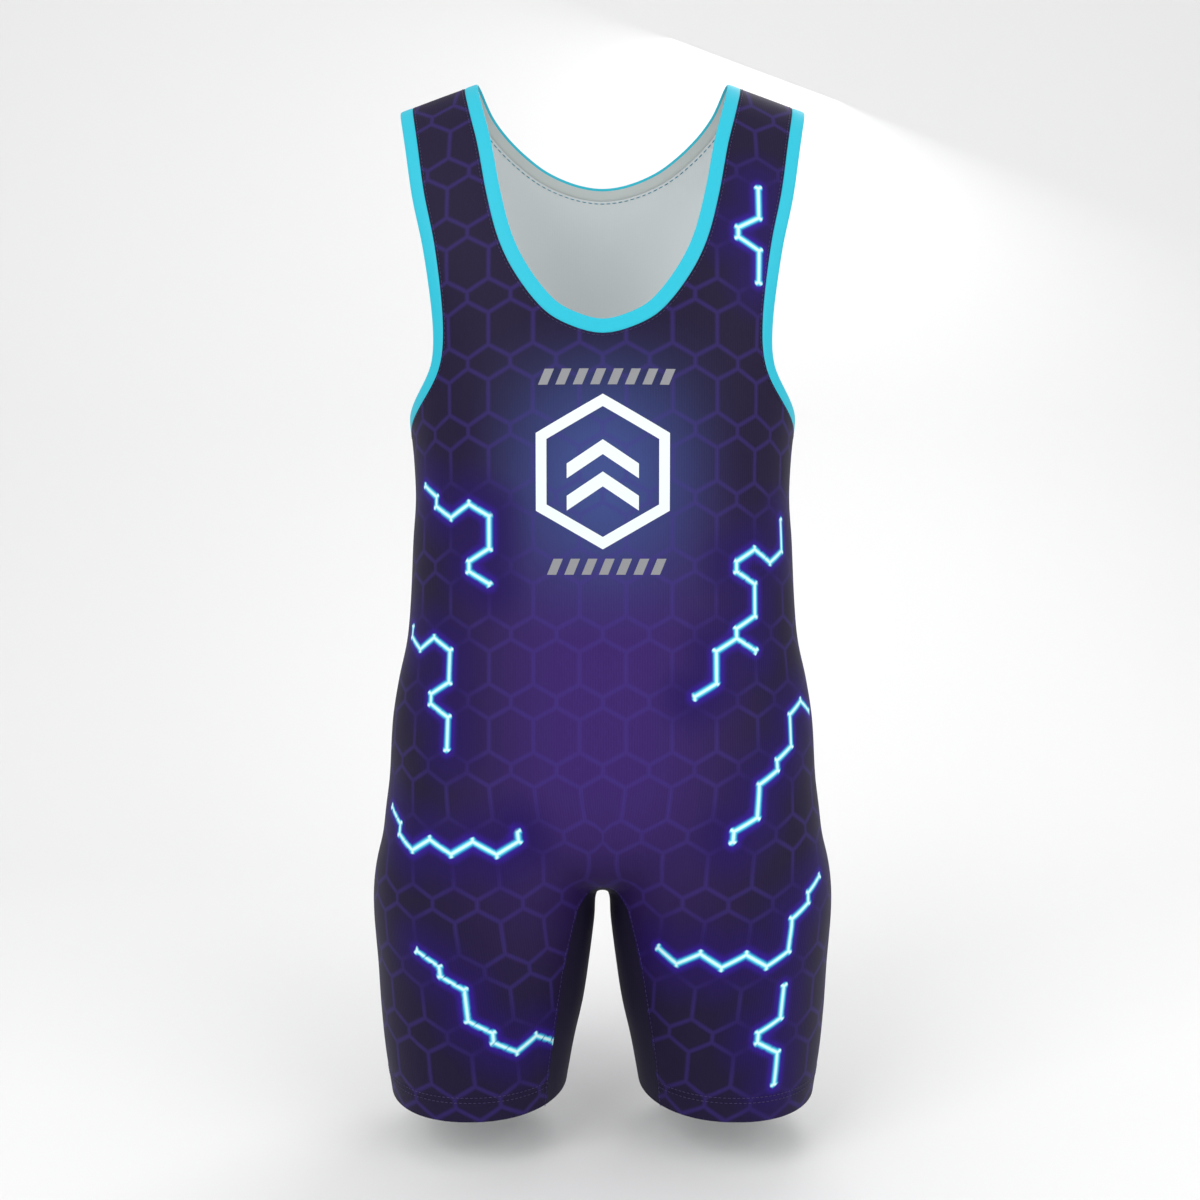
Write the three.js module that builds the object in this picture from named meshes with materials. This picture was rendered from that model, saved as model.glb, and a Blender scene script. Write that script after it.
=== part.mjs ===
import * as THREE from 'three';

// A wrestling singlet in its worn form, millimetres, front towards -Y, Z up.
// Heights in the tables (h) are measured up from the waist; the frame's origin is the shoulder line.

const SHOULDER_H = 417.5;
const HEM_H = -400;
const CAP_H = 145;
const PANEL_T = 1.5;
const BAND_T = 2;
const BAND_LIFT = 0.25;
const BAND_W = 11;
const SEAM_GAP = 0.35;
const ARM_ROWS = 20;
const SIDE_ROWS = 18;
const NECK_FRONT_ROWS = 16;
const NECK_BACK_ROWS = 10;
const LEG_ROWS = 9;
const PANEL_COLS = 10;
const GUSSET_COLS = 6;
const SIDE_AT_CROTCH_H = -222;

// Trunk and outer leg: half width, depth forward and depth back of the side seam, section power
const SECTION_COLUMNS = ['h', 'half', 'front', 'back', 'power'];
const SECTIONS = [
  [-400, 175, 84, 80, 2.2],
  [-365, 180.6, 86, 85, 2.2],
  [-332, 184, 88.5, 91, 2.2],
  [-298, 186.3, 91, 98, 2.2],
  [-249, 190.2, 93, 108, 2.2],
  [-216, 188.5, 93.8, 113, 2.25],
  [-182, 183, 95, 115, 2.3],
  [-149, 178, 96.5, 111, 2.35],
  [-99, 175, 98, 102, 2.45],
  [-66, 170, 98.4, 95.5, 2.5],
  [-33, 163, 98.6, 91.5, 2.55],
  [0, 160, 99, 90, 2.6],
  [50, 157.7, 101.5, 93, 2.7],
  [83, 155.6, 104, 97, 2.75],
  [116, 157, 105.4, 100, 2.8],
  [145, 160, 106, 102, 2.8],
  [200, 165, 104.5, 101, 2.8],
  [260, 185, 103, 100, 2.8],
  [320, 205, 100, 98, 2.8],
  [380, 220, 99, 97, 2.8],
  [430, 225, 98, 96, 2.8],
];

// Inner leg: distance of the inner edge from the middle plane, before the crotch is rounded over
const INNER_COLUMNS = ['h', 'inner'];
const INNER = [
  [-400, 30.6],
  [-365, 24.3],
  [-332, 17.1],
  [-298, 12.4],
  [-265, 9],
  [-249, 8.4],
  [-241, 7],
  [-230, 5],
  [-200, 2],
  [-150, 0],
];

const CROTCH_ROUND = 6;
const CROTCH_FADE_TOP = -145;
const CROTCH_FADE_SPAN = 93.5;
const LEG_BLEND_TOP = -40;
const LEG_BLEND_SPAN = 195;
const CROWN_H = 430.5;
const CROWN_X = 103;
const CROWN_SLOPE = 0.355;

// Edge of the neck opening from the middle of the front over the left shoulder: columns x, y, h
const NECK_FRONT = [
  [0, -101, 211],
  [19.6, -101, 216],
  [36.4, -99, 226],
  [55.7, -93, 251],
  [68.8, -86, 278],
  [78.3, -75, 314],
  [86.6, -58, 358],
  [93.8, -43, 387],
];
const NECK_TOP = [103, 0, 430.5];
const NECK_BACK = [
  [95.5, 30, 420],
  [84.5, 43, 408],
  [68, 55, 395],
  [48.5, 63, 383],
  [23.5, 68, 374],
  [0, 70, 371],
];

// Edge of the left armhole, down its front and up its back: columns x, y, h
const ARM_TOP = [168, 0, 407.4];
const ARM_FRONT = [
  [164.5, -28, 390],
  [158.5, -45, 361],
  [150, -59, 315],
  [140, -67, 274],
  [133.5, -70, 235],
  [131.5, -69, 202],
  [134.5, -66, 183],
  [142, -57, 170],
  [152, -36, 157],
];
const ARM_LOW = [160, 0, 146];
const ARM_BACK = [
  [154, 32, 156],
  [145.5, 52, 170],
  [140, 61, 190],
  [138.5, 64, 220],
  [141.5, 63, 262],
  [149.5, 57, 312],
  [158.5, 43, 361],
  [164.5, 27, 390],
];

// Seam of a panel and the gusset, from the middle of the crotch to the hem: columns x, h
const GUSSET_SEAM = [
  [0, -229],
  [11, -235],
  [19.5, -247],
  [24.2, -265],
  [28.6, -283],
  [33.4, -313],
  [37.8, -341],
  [41, -364],
  [44.5, -400],
];

// Smooth curve through a table of knots: value of one column at height h
function column(table, names, name) {
  const c = names.indexOf(name);
  const k = table.map((row) => row[0]);
  const v = table.map((row) => row[c]);
  const last = k.length - 1;
  const slope = v.map((_, i) => {
    const a = Math.max(i - 1, 0);
    const b = Math.min(i + 1, last);
    return (v[b] - v[a]) / (k[b] - k[a]);
  });
  return (h) => {
    const q = Math.min(Math.max(h, k[0]), k[last]);
    let i = 0;
    while (i < last - 1 && q > k[i + 1]) {
      i += 1;
    }
    const w = k[i + 1] - k[i];
    const t = (q - k[i]) / w;
    const u = 1 - t;
    const start = u * u * (1 + 2 * t) * v[i] + u * u * t * w * slope[i];
    const end = t * t * (3 - 2 * t) * v[i + 1] - t * t * u * w * slope[i + 1];
    return start + end;
  };
}

const halfAt = column(SECTIONS, SECTION_COLUMNS, 'half');
const frontAt = column(SECTIONS, SECTION_COLUMNS, 'front');
const backAt = column(SECTIONS, SECTION_COLUMNS, 'back');
const powerAt = column(SECTIONS, SECTION_COLUMNS, 'power');
const innerAt = column(INNER, INNER_COLUMNS, 'inner');

// Larger of two values with the corner between them rounded
function softMax(a, b, k) {
  const m = Math.min(Math.max(0.5 + (0.5 * (a - b)) / k, 0), 1);
  return b + (a - b) * m + k * m * (1 - m);
}

// Worn form of the cloth as one field: 1 on the surface, less inside, more outside
function field(p) {
  const h = p.z;
  const half = halfAt(h);
  const power = powerAt(h);
  const trunk = 1 - Math.pow(Math.abs(p.x) / half, power);
  const inner = innerAt(h);
  const middle = (half + inner) / 2;
  const reach = (half - inner) / 2;
  const off = (Math.sqrt(p.x * p.x + CROTCH_ROUND * CROTCH_ROUND) - middle) / reach;
  const fade = Math.pow(Math.max((CROTCH_FADE_TOP - h) / CROTCH_FADE_SPAN, 0), 3);
  const blend = Math.min(Math.max((LEG_BLEND_TOP - h) / LEG_BLEND_SPAN, 0), 1);
  const rise = 0.5 - 0.5 * blend * blend * (3 - 2 * blend);
  const leg = 1 - Math.pow(Math.abs(off), power) - rise;
  const wide = softMax(trunk - fade, leg, 0.2);
  const crown = CROWN_H + (CROWN_X - Math.abs(p.x)) * CROWN_SLOPE;
  const cap = Math.max(h - CAP_H, 0) / (crown - CAP_H);
  const keep = wide > 0 ? 1 - cap * cap : 1 + cap * cap;
  const deep = p.y / (p.y < 0 ? frontAt(h) : backAt(h));
  return deep * deep + 1 - wide * keep;
}

// Direction straight out of the form
function gradient(p) {
  const e = 0.05;
  const g = new THREE.Vector3();
  for (const axis of ['x', 'y', 'z']) {
    const a = p.clone();
    const b = p.clone();
    a[axis] += e;
    b[axis] -= e;
    g[axis] = (field(a) - field(b)) / (2 * e);
  }
  return g;
}

function normal(p) {
  return gradient(p).normalize();
}

// Bring a point on to the form along its own slope; a level one keeps its height
function settle(point, level = false) {
  const p = point.clone();
  for (let i = 0; i < 40; i += 1) {
    const g = gradient(p);
    if (level) {
      g.z = 0;
    }
    const step = (1 - field(p)) / Math.max(g.lengthSq(), 1e-9);
    g.multiplyScalar(step);
    p.add(g.clampLength(0, 12));
  }
  return p;
}

// Even stations along a line of points, each one back on the form
function even(points, count, level = false) {
  const length = [0];
  for (let i = 1; i < points.length; i += 1) {
    length.push(length[i - 1] + points[i].distanceTo(points[i - 1]));
  }
  const total = length[length.length - 1];
  const out = [];
  let i = 0;
  for (let k = 0; k <= count; k += 1) {
    const want = (total * k) / count;
    while (i < points.length - 2 && length[i + 1] < want) {
      i += 1;
    }
    const t = (want - length[i]) / (length[i + 1] - length[i]);
    const p = points[i].clone().lerp(points[i + 1], t);
    out.push(k === 0 || k === count ? p : settle(p, level));
  }
  return out;
}

// Smooth line through points, as many fine steps between each pair
function through(points, first, last, steps) {
  const knot = [0];
  for (let i = 1; i < points.length; i += 1) {
    knot.push(knot[i - 1] + points[i].distanceTo(points[i - 1]));
  }
  const slope = points.map((_, i) => {
    const a = Math.max(i - 1, 0);
    const b = Math.min(i + 1, points.length - 1);
    return points[b].clone().sub(points[a]).divideScalar(knot[b] - knot[a]);
  });
  const out = [];
  for (let i = first; i < last; i += 1) {
    const w = knot[i + 1] - knot[i];
    for (let s = i === first ? 0 : 1; s <= steps; s += 1) {
      const t = s / steps;
      const u = 1 - t;
      const p = points[i].clone().multiplyScalar(u * u * (1 + 2 * t));
      p.addScaledVector(slope[i], u * u * t * w);
      p.addScaledVector(points[i + 1], t * t * (3 - 2 * t));
      p.addScaledVector(slope[i + 1], -t * t * u * w);
      out.push(settle(p));
    }
  }
  return out;
}

function mirrored(p) {
  return new THREE.Vector3(-p.x, p.y, p.z);
}

function vector(row) {
  return new THREE.Vector3(row[0], row[1], row[2]);
}

// Step across the cloth, square to a line of stations, by a set distance
function across(stations, distance, sign) {
  return stations.map((p, i) => {
    const a = stations[Math.max(i - 1, 0)];
    const b = stations[Math.min(i + 1, stations.length - 1)];
    const along = b.clone().sub(a);
    const central = Math.abs(p.x) < 1e-6;
    if (central) {
      along.set(Math.sign(along.x), 0, 0);
    }
    const out = along.cross(normal(p)).normalize();
    const moved = settle(p.clone().addScaledVector(out, sign * distance));
    if (central) {
      moved.x = 0;
    }
    return moved;
  });
}

// Grid of stations between two edge lines, bowed over the form and spaced evenly
function between(left, right, cols, side) {
  return left.map((p, r) => {
    const q = right[r];
    const level = p.z === HEM_H && q.z === HEM_H;
    const bow = side * 0.8 * Math.max(p.distanceTo(q) - 60, 0);
    const line = [];
    const fine = cols * 3;
    for (let k = 0; k <= fine; k += 1) {
      const t = k / fine;
      const m = p.clone().lerp(q, t);
      m.y += bow * t * (1 - t);
      line.push(k === 0 || k === fine ? m : settle(m, level));
    }
    return even(line, cols, level);
  });
}

// Closed wall of cloth over a set of four-cornered patches of its outer face
function wall(patches, thickness, lift) {
  const index = new Map();
  const points = [];
  const spot = (p) => {
    const key = [p.x, p.y, p.z].map((v) => Math.round(v * 2000)).join();
    if (!index.has(key)) {
      index.set(key, points.length);
      points.push(p);
    }
    return index.get(key);
  };
  const faces = [];
  const edges = new Map();
  const addFace = (a, b, c) => {
    const ab = points[b].clone().sub(points[a]);
    const ac = points[c].clone().sub(points[a]);
    const centre = points[a].clone().add(points[b]).add(points[c]).divideScalar(3);
    const outward = ab.cross(ac).dot(normal(centre)) > 0;
    const face = outward ? [a, b, c] : [a, c, b];
    faces.push(face);
    face.forEach((v, i) => {
      const w = face[(i + 1) % 3];
      if (edges.has(w + '_' + v)) {
        edges.delete(w + '_' + v);
      } else {
        edges.set(v + '_' + w, [v, w]);
      }
    });
  };
  for (const patch of patches) {
    const [a, b, c, d] = patch.map(spot);
    if (points[a].distanceTo(points[c]) < points[b].distanceTo(points[d])) {
      addFace(a, b, c);
      addFace(a, c, d);
    } else {
      addFace(a, b, d);
      addFace(b, c, d);
    }
  }
  const count = points.length;
  const outer = points.map((p) => p.clone().addScaledVector(normal(p), lift));
  const inside = points.map((p) => p.clone().addScaledVector(normal(p), lift - thickness));
  const place = outer.concat(inside).flatMap((p) => [p.x, p.y, p.z - SHOULDER_H]);
  const order = [];
  for (const [a, b, c] of faces) {
    order.push(a, b, c);
    order.push(a + count, c + count, b + count);
  }
  for (const [v, w] of edges.values()) {
    order.push(v, v + count, w + count);
    order.push(v, w + count, w);
  }
  const geometry = new THREE.BufferGeometry();
  geometry.setAttribute('position', new THREE.Float32BufferAttribute(place, 3));
  geometry.setIndex(order);
  geometry.computeVertexNormals();
  return geometry;
}

function patchesOf(grid) {
  const out = [];
  for (let r = 0; r < grid.length - 1; r += 1) {
    for (let c = 0; c < grid[r].length - 1; c += 1) {
      out.push([grid[r][c], grid[r][c + 1], grid[r + 1][c + 1], grid[r + 1][c]]);
    }
  }
  return out;
}

function bothHalves(patches) {
  return patches.concat(patches.map((patch) => patch.map(mirrored)));
}

// Stations of the neck edge, from the top of the strap to the middle of the front and of the back
const neckFrontRight = NECK_FRONT.map(vector);
const neckBackRight = NECK_BACK.map(vector);
const neckLine = [
  ...neckFrontRight.slice(1, 3).reverse().map(mirrored),
  ...neckFrontRight,
  vector(NECK_TOP),
  ...neckBackRight,
  ...neckBackRight.slice(-3, -1).reverse().map(mirrored),
];
const neckMiddle = 2;
const neckCrown = neckMiddle + NECK_FRONT.length;
const neckRear = neckCrown + NECK_BACK.length;
const neckFront = even(through(neckLine, neckMiddle, neckCrown, 12), NECK_FRONT_ROWS).reverse();
const neckBack = even(through(neckLine, neckCrown, neckRear, 12), NECK_BACK_ROWS);

// Stations of the armhole edge, from the top of the strap to the underarm
const armLine = [
  vector(ARM_BACK[ARM_BACK.length - 1]),
  vector(ARM_TOP),
  ...ARM_FRONT.map(vector),
  vector(ARM_LOW),
  ...ARM_BACK.map(vector),
  vector(ARM_TOP),
  vector(ARM_FRONT[0]),
];
const armUnder = 2 + ARM_FRONT.length;
const armFront = even(through(armLine, 1, armUnder, 12), ARM_ROWS);
const armBack = even(through(armLine, armUnder, armLine.length - 2, 12), ARM_ROWS).reverse();

// Round the neck and the armhole as closed lines, so that the steps across them join up
function loopAcross(front, back, distance, sign) {
  const line = [back[1], ...front, ...back.slice(0, -1).reverse()];
  const moved = across(line, distance, sign).slice(1);
  const forward = moved.slice(0, front.length);
  const rear = [moved[0], ...moved.slice(front.length, -1).reverse(), moved[front.length - 1]];
  return { forward, rear };
}

function neckAcross(distance) {
  const line = [...neckFront.slice().reverse(), ...neckBack.slice(1)];
  const moved = across(line, distance, 1);
  const forward = moved.slice(0, neckFront.length).reverse();
  const rear = moved.slice(neckFront.length - 1);
  return { forward, rear };
}

function armAcross(distance) {
  return loopAcross(armFront, armBack, distance, 1);
}

// Centre line, side seam and gusset seam of the front (side -1) or the back (side 1)
function seamLines(side, neck, arm) {
  const seamTable = GUSSET_SEAM.map(([x, h]) => {
    const p = new THREE.Vector3(x, 0, h);
    let low = 0;
    let high = side * 130;
    for (let i = 0; i < 50; i += 1) {
      p.y = (low + high) / 2;
      if (field(p) < 1) {
        low = p.y;
      } else {
        high = p.y;
      }
    }
    return p.clone();
  });
  const seamLine = [...seamTable.slice(1, 3).reverse().map(mirrored), ...seamTable];
  const seam = even(through(seamLine, 2, seamLine.length - 1, 12), LEG_ROWS);
  seam[0].x = 0;
  seam[LEG_ROWS].z = HEM_H;
  const top = neck[neck.length - 1];
  const bottom = across(seam, SEAM_GAP / 2, side)[0];
  const middle = [];
  const rows = ARM_ROWS + SIDE_ROWS + 1 - neck.length;
  const steps = rows * 3;
  for (let k = 0; k <= steps; k += 1) {
    const h = top.z + ((bottom.z - top.z) * k) / steps;
    const p = settle(new THREE.Vector3(0, side * 60, h));
    p.x = 0;
    middle.push(p);
  }
  middle[0] = top;
  middle[steps] = bottom;
  const under = arm[arm.length - 1];
  const flank = (from, to, count) => {
    const line = [];
    for (let k = 0; k <= count * 3; k += 1) {
      const h = from + ((to - from) * k) / (count * 3);
      line.push(settle(new THREE.Vector3(halfAt(h), (side * SEAM_GAP) / 2, h), true));
    }
    return even(line, count, true);
  };
  return {
    seam,
    middle: even(middle, rows),
    sideUpper: flank(under.z, SIDE_AT_CROTCH_H, SIDE_ROWS),
    sideLower: flank(SIDE_AT_CROTCH_H, HEM_H, LEG_ROWS),
  };
}

// Keep the last station of a line at the hem's height
function toHem(line) {
  const end = line[line.length - 1];
  end.z = HEM_H;
  line[line.length - 1] = settle(end, true);
  return line;
}

function panel(side, neck, arm) {
  const lines = seamLines(side, neck, arm);
  const shoulder = (line) => {
    const p = line[0].clone();
    p.y += (side * SEAM_GAP) / 2;
    return [settle(p), ...line.slice(1)];
  };
  const armEdge = shoulder(arm);
  armEdge[ARM_ROWS] = lines.sideUpper[0];
  const gussetEdge = toHem(across(lines.seam, SEAM_GAP / 2, side));
  gussetEdge[0] = lines.middle[lines.middle.length - 1];
  const left = [...shoulder(neck), ...lines.middle.slice(1), ...gussetEdge.slice(1)];
  const right = [...armEdge, ...lines.sideUpper.slice(1), ...lines.sideLower.slice(1)];
  return bothHalves(patchesOf(between(left, right, PANEL_COLS, side)));
}

const neckSeam = neckAcross(BAND_W + SEAM_GAP);
const armSeam = armAcross(BAND_W + SEAM_GAP);
const frontPatches = panel(-1, neckSeam.forward, armSeam.forward);
const backPatches = panel(1, neckSeam.rear, armSeam.rear);

// Gusset: one strip from hem to hem over the crotch, its edges half a seam gap inside the seams
const frontLines = seamLines(-1, neckSeam.forward, armSeam.forward);
const backLines = seamLines(1, neckSeam.rear, armSeam.rear);
const gussetFront = toHem(across(frontLines.seam, -SEAM_GAP / 2, -1));
const gussetBack = toHem(across(backLines.seam, -SEAM_GAP / 2, 1));
const gussetGrid = gussetFront.map((p, r) => {
  const q = gussetBack[r];
  const level = r === gussetFront.length - 1;
  const line = [];
  for (let k = 0; k <= GUSSET_COLS * 4; k += 1) {
    const t = k / (GUSSET_COLS * 4);
    const m = p.clone().lerp(q, t);
    m.x -= r === 0 ? 0 : 10 * t * (1 - t);
    m.z -= r === 0 ? 20 * t * (1 - t) : 0;
    line.push(k === 0 || t === 1 ? m : settle(m, level));
  }
  const row = even(line, GUSSET_COLS, level);
  if (r === 0) {
    row.forEach((m) => m.setX(0));
  }
  return row;
});
const gussetPatches = bothHalves(patchesOf(gussetGrid));

// Bands: strips from the opening edge to the seam, all the way round each opening
function bandPatches(edge, steps) {
  const grids = ['forward', 'rear'].map((part) => {
    const lines = [edge[part], ...steps.map((step) => step[part])];
    return patchesOf(lines);
  });
  return grids.flat();
}

const neckBand = bandPatches({ forward: neckFront, rear: neckBack }, [
  neckAcross(BAND_W / 2),
  neckAcross(BAND_W),
]);
const armBand = bandPatches({ forward: armFront, rear: armBack }, [
  armAcross(BAND_W / 2),
  armAcross(BAND_W),
]);

const SKIN = new THREE.MeshStandardMaterial({ color: 0x33265e, roughness: 0.6 });
const DARK = new THREE.MeshStandardMaterial({ color: 0x1c1430, roughness: 0.7 });
const CYAN = new THREE.MeshStandardMaterial({ color: 0x3fd6ea, roughness: 0.5 });
const group = new THREE.Group();

function add(name, patches, thickness, lift, material) {
  const mesh = new THREE.Mesh(wall(patches, thickness, lift), material);
  mesh.name = name;
  group.add(mesh);
}

add('front_panel', frontPatches, PANEL_T, 0, SKIN);
add('back_panel', backPatches, PANEL_T, 0, SKIN);
add('crotch_gusset', gussetPatches, PANEL_T, 0, DARK);
add('neck_band', bothHalves(neckBand), BAND_T, BAND_LIFT, CYAN);
add('armhole_band_left', armBand, BAND_T, BAND_LIFT, CYAN);
add('armhole_band_right', armBand.map((patch) => patch.map(mirrored)), BAND_T, BAND_LIFT, CYAN);

export default group;
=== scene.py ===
import heapq
import bpy
import numpy as np
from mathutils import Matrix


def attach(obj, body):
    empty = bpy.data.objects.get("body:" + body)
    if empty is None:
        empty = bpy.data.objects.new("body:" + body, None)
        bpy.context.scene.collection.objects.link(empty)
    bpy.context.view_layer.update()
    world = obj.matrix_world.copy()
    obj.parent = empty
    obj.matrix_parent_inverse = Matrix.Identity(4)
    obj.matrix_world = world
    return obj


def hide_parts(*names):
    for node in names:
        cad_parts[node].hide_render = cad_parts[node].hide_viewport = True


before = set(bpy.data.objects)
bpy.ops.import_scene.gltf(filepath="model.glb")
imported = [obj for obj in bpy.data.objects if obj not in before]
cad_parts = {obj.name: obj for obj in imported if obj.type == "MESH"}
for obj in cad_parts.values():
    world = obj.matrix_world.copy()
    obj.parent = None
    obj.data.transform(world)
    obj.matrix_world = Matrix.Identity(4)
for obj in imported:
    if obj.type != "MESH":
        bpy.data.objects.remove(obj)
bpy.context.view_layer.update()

# Camera: level, in front of the waist, at the photo's distance and angle
SHOULDER_H = 417.5
camera = bpy.data.objects.new("camera", bpy.data.cameras.new("camera"))
bpy.context.scene.collection.objects.link(camera)
bpy.context.scene.camera = camera
camera.location = (-0.0021, -0.944, -SHOULDER_H / 1000)
camera.rotation_euler = (np.pi / 2, 0, 0)
camera.data.lens = 33.7
camera.data.sensor_width = 36
camera.data.clip_start = 0.01


def linear(text):
    """A sRGB hex value as linear RGBA."""
    parts = [int(text[i:i + 2], 16) / 255 for i in (1, 3, 5)]
    return tuple(c / 12.92 if c <= 0.04045 else ((c + 0.055) / 1.055) ** 2.4 for c in parts) + (1,)


def material(name, **values):
    """A Principled material with plain values on its own sockets."""
    made = bpy.data.materials.new(name)
    made.use_nodes = True
    shader = made.node_tree.nodes["Principled BSDF"]
    for key, value in values.items():
        shader.inputs[key.replace("_", " ")].default_value = value
    return made


def node(tree, kind, inputs=(), **settings):
    """One node with its settings; each input is a value or another node's output."""
    made = tree.nodes.new(kind)
    for key, value in settings.items():
        setattr(made, key, value)
    for key, value in dict(inputs).items():
        if isinstance(value, bpy.types.NodeSocket):
            tree.links.new(value, made.inputs[key])
        elif isinstance(value, bpy.types.Node):
            tree.links.new(value.outputs[0], made.inputs[key])
        else:
            made.inputs[key].default_value = value
    return made


# Studio: a pale swept floor under and behind the garment, two soft boxes and an even sky
sweep = [(-9, -0.86), (0.9, -0.86)]
sweep += [(0.9 + 0.9 * np.sin(t), 0.04 - 0.9 * np.cos(t)) for t in np.linspace(0.1, np.pi / 2, 14)]
sweep += [(1.8, 9)]
floor_mesh = bpy.data.meshes.new("studio_floor")
floor_mesh.from_pydata(
    [(x, y, z) for y, z in sweep for x in (-12, 12)],
    [],
    [(2 * i, 2 * i + 1, 2 * i + 3, 2 * i + 2) for i in range(len(sweep) - 1)],
)
floor_mesh.shade_smooth()
floor = bpy.data.objects.new("studio_floor", floor_mesh)
bpy.context.scene.collection.objects.link(floor)
floor_mesh.materials.append(material("studio_paper", Base_Color=linear("#ebebeb"), Roughness=0.95))
lamps = [
    ("key_light", (-1.5, -1.9, 1.1), 1.6, 31),
    ("fill_light", (1.7, -1.7, 0.5), 1.8, 22),
    ("back_light", (0.6, 1.3, 1.2), 1.2, 12),
]
for name, place, size, power in lamps:
    lamp = bpy.data.objects.new(name, bpy.data.lights.new(name, "AREA"))
    lamp.data.size = size
    lamp.data.energy = power
    lamp.location = place
    aim = np.array((0, 0, -0.4)) - np.array(place)
    lamp.rotation_euler = (np.arccos(-aim[2] / np.linalg.norm(aim)), 0, np.arctan2(-aim[0], aim[1]))
    bpy.context.scene.collection.objects.link(lamp)
world = bpy.data.worlds.new("studio")
world.use_nodes = True
world.node_tree.nodes["Background"].inputs["Color"].default_value = linear("#f6f6f6")
world.node_tree.nodes["Background"].inputs["Strength"].default_value = 0.82
bpy.context.scene.world = world
bpy.context.scene.view_settings.view_transform = "Standard"

# Front panel: printed polyester stretch knit, cut in one piece from both shoulder seams to the leg
# hems. It is sewn to the back at the sides and shoulders and to the gusset at the inner legs.
# The tables give the worn form in millimetres; h is the height above the waist.
HEM_H = -400
CAP_H = 145
PANEL_T = 1.5
HEM_FOLD = 18
SEAM_GAP = 0.04
BAND_W = 11
FINE = 4
ARM_ROWS = 20 * FINE
SIDE_ROWS = 18 * FINE
NECK_ROWS = {-1: 16 * FINE, 1: 10 * FINE}
LEG_ROWS = 9 * FINE
PANEL_COLS = 10 * FINE
GUSSET_COLS = 6 * FINE
SIDE_AT_CROTCH_H = -222
SECTIONS = {
    "h": (-400, -365, -332, -298, -249, -216, -182, -149, -99, -66, -33, 0, 50, 83, 116, 145,
          200, 260, 320, 380, 430),
    "half": (175, 180.6, 184, 186.3, 190.2, 188.5, 183, 178, 175, 170, 163, 160, 157.7, 155.6, 157,
             160, 165, 185, 205, 220, 225),
    "front": (84, 86, 88.5, 91, 93, 93.8, 95, 96.5, 98, 98.4, 98.6, 99, 101.5, 104, 105.4, 106,
              104.5, 103, 100, 99, 98),
    "back": (80, 85, 91, 98, 108, 113, 115, 111, 102, 95.5, 91.5, 90, 93, 97, 100, 102,
             101, 100, 98, 97, 96),
    "power": (2.2, 2.2, 2.2, 2.2, 2.2, 2.25, 2.3, 2.35, 2.45, 2.5, 2.55, 2.6, 2.7, 2.75, 2.8, 2.8,
              2.8, 2.8, 2.8, 2.8, 2.8),
}
INNER = {
    "h": (-400, -365, -332, -298, -265, -249, -241, -230, -200, -150),
    "inner": (30.6, 24.3, 17.1, 12.4, 9, 8.4, 7, 5, 2, 0),
}
NECK_TOP = (103, 0, 430.5)
NECK_EDGE = {
    -1: [(0, -101, 211), (19.6, -101, 216), (36.4, -99, 226), (55.7, -93, 251),
         (68.8, -86, 278), (78.3, -75, 314), (86.6, -58, 358), (93.8, -43, 387)],
    1: [(95.5, 30, 420), (84.5, 43, 408), (68, 55, 395), (48.5, 63, 383), (23.5, 68, 374),
        (0, 70, 371)],
}
ARM_TOP = (168, 0, 407.4)
ARM_LOW = (160, 0, 146)
ARM_EDGE = {
    -1: [(164.5, -28, 390), (158.5, -45, 361), (150, -59, 315), (140, -67, 274),
         (133.5, -70, 235), (131.5, -69, 202), (134.5, -66, 183), (142, -57, 170),
         (152, -36, 157)],
    1: [(154, 32, 156), (145.5, 52, 170), (140, 61, 190), (138.5, 64, 220), (141.5, 63, 262),
        (149.5, 57, 312), (158.5, 43, 361), (164.5, 27, 390)],
}
GUSSET_SEAM = [(0, -229), (11, -235), (19.5, -247), (24.2, -265), (28.6, -283), (33.4, -313),
               (37.8, -341), (41, -364), (44.5, -400)]


def hermite(knots, values, slopes, query):
    """Smooth curve through knots, for numbers or points."""
    i = np.clip(np.searchsorted(knots, query) - 1, 0, len(knots) - 2)
    w = knots[i + 1] - knots[i]
    t = (query - knots[i]) / w
    u = 1 - t
    parts = (u * u * (1 + 2 * t), u * u * t * w, t * t * (3 - 2 * t), -t * t * u * w)
    spots = (values[i], slopes[i], values[i + 1], slopes[i + 1])
    if values.ndim > 1:
        parts = [part[:, None] for part in parts]
    return sum(part * spot for part, spot in zip(parts, spots))


def slopes_of(knots, values):
    a = np.maximum(np.arange(len(knots)) - 1, 0)
    b = np.minimum(np.arange(len(knots)) + 1, len(knots) - 1)
    step = knots[b] - knots[a]
    return (values[b] - values[a]) / (step if values.ndim == 1 else step[:, None])


def at(table, name, h):
    knots = np.array(table["h"], float)
    values = np.array(table[name], float)
    return hermite(knots, values, slopes_of(knots, values), np.clip(h, knots[0], knots[-1]))


def width_part(x, h):
    """Trunk and legs across: more than 0 within the form's width."""
    half, power, inner = at(SECTIONS, "half", h), at(SECTIONS, "power", h), at(INNER, "inner", h)
    trunk = 1 - (np.abs(x) / half) ** power - np.maximum((-145 - h) / 93.5, 0) ** 3
    blend = np.clip((-40 - h) / 195, 0, 1)
    off = (np.sqrt(x * x + 36) - (half + inner) / 2) / ((half - inner) / 2)
    leg = 1 - np.abs(off) ** power - 0.5 + 0.5 * blend * blend * (3 - 2 * blend)
    m = np.clip(0.5 + (trunk - leg) / 0.4, 0, 1)
    wide = leg + (trunk - leg) * m + 0.2 * m * (1 - m)
    cap = np.maximum(h - CAP_H, 0) / (430.5 + (103 - np.abs(x)) * 0.355 - CAP_H)
    return wide * np.where(wide > 0, 1 - cap * cap, 1 + cap * cap)


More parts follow.
